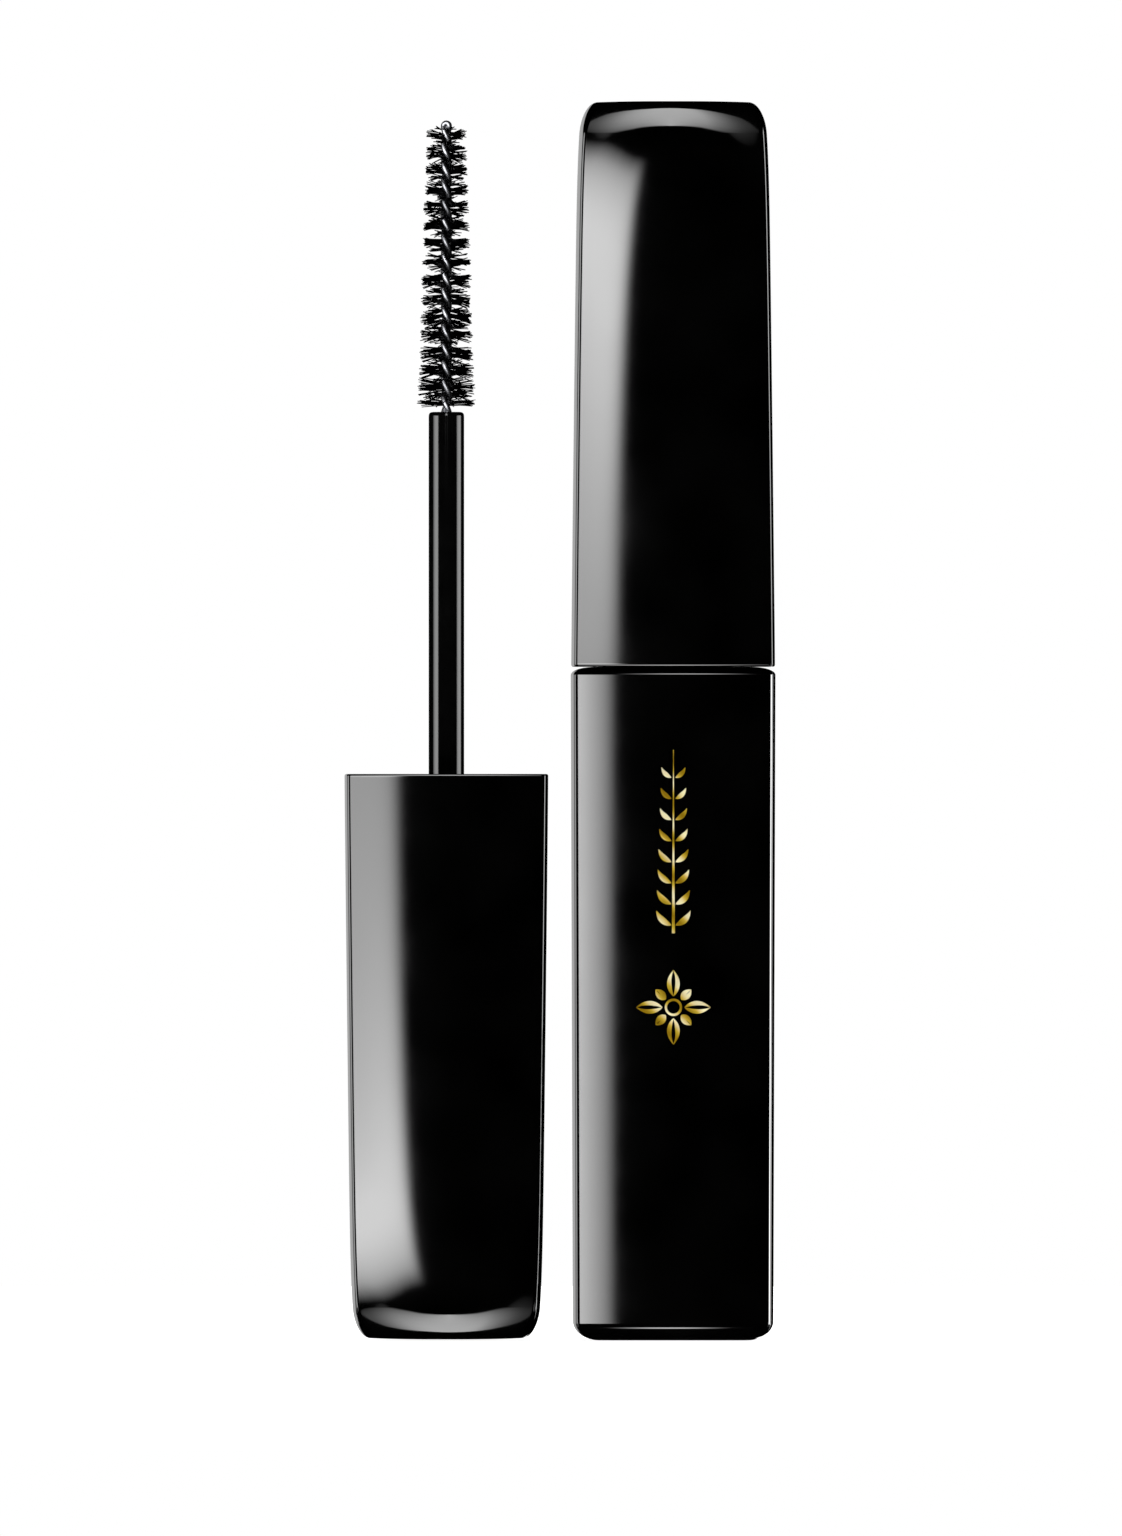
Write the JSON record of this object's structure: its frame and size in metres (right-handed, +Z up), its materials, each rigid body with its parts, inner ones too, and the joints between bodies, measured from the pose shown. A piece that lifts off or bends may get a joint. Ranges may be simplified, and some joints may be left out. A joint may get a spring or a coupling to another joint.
{
  "type": "mascara tube with a second loose applicator",
  "caption": "Slim square mascara: a closed tube with its screw-in cap and brush, and a loose applicator standing brush-up on its cap.",
  "frame": {"origin": "on the ground, in the middle of the pair's overall width and depth", "axes": "+Z up along both axes, -Y towards the viewer of the fronts, +X from the loose applicator to the closed tube"},
  "size_m": [0.0432, 0.0204, 0.1239],
  "materials": {
    "lacquer": "black piano gloss",
    "moulded": "as moulded",
    "vial": "satin",
    "rod": "gloss",
    "rubber": "matte",
    "cream": "wet cream",
    "foam": "fine foam",
    "steel": "turned",
    "wire": "drawn wire with cream on it",
    "fibre": "fine nylon fibres",
    "label": "matte film"
  },
  "bodies": {
    "tube": {"tube_case": "lacquer", "base_plug": "moulded", "base_label": "label", "vial": "vial", "wiper": "rubber", "mascara_cream": "cream"},
    "neck_ring": {"neck_ring": "rubber"},
    "applicator": {"cap_shell": "lacquer", "cap_liner": "moulded", "cap_weight": "steel", "cap_gasket": "foam", "wand_rod": "rod", "wire_core": "wire", "bristles": "fibre"},
    "loose_applicator": {"loose_cap_shell": "lacquer", "loose_cap_liner": "moulded", "loose_cap_weight": "steel", "loose_cap_gasket": "foam", "loose_wand_rod": "rod", "loose_wire_core": "wire", "loose_bristles": "fibre"}
  },
  "joints": [
    {"name": "cap_turn", "type": "hinge", "parent": "tube", "child": "neck_ring", "pos_m": [0.01133, 0, 0.0678], "axis": [0, 0, 1], "range_deg": [0, 540]},
    {"name": "cap_lift", "type": "slide", "parent": "neck_ring", "child": "applicator", "axis": [0, 0, 1], "range_m": [0, 0.088], "deforming": ["bristles"]},
    {"name": "loose_lift", "type": "slide", "parent": "tube", "child": "loose_applicator", "axis": [0, 0, 1], "range_m": [0, 0.13]}
  ]
}
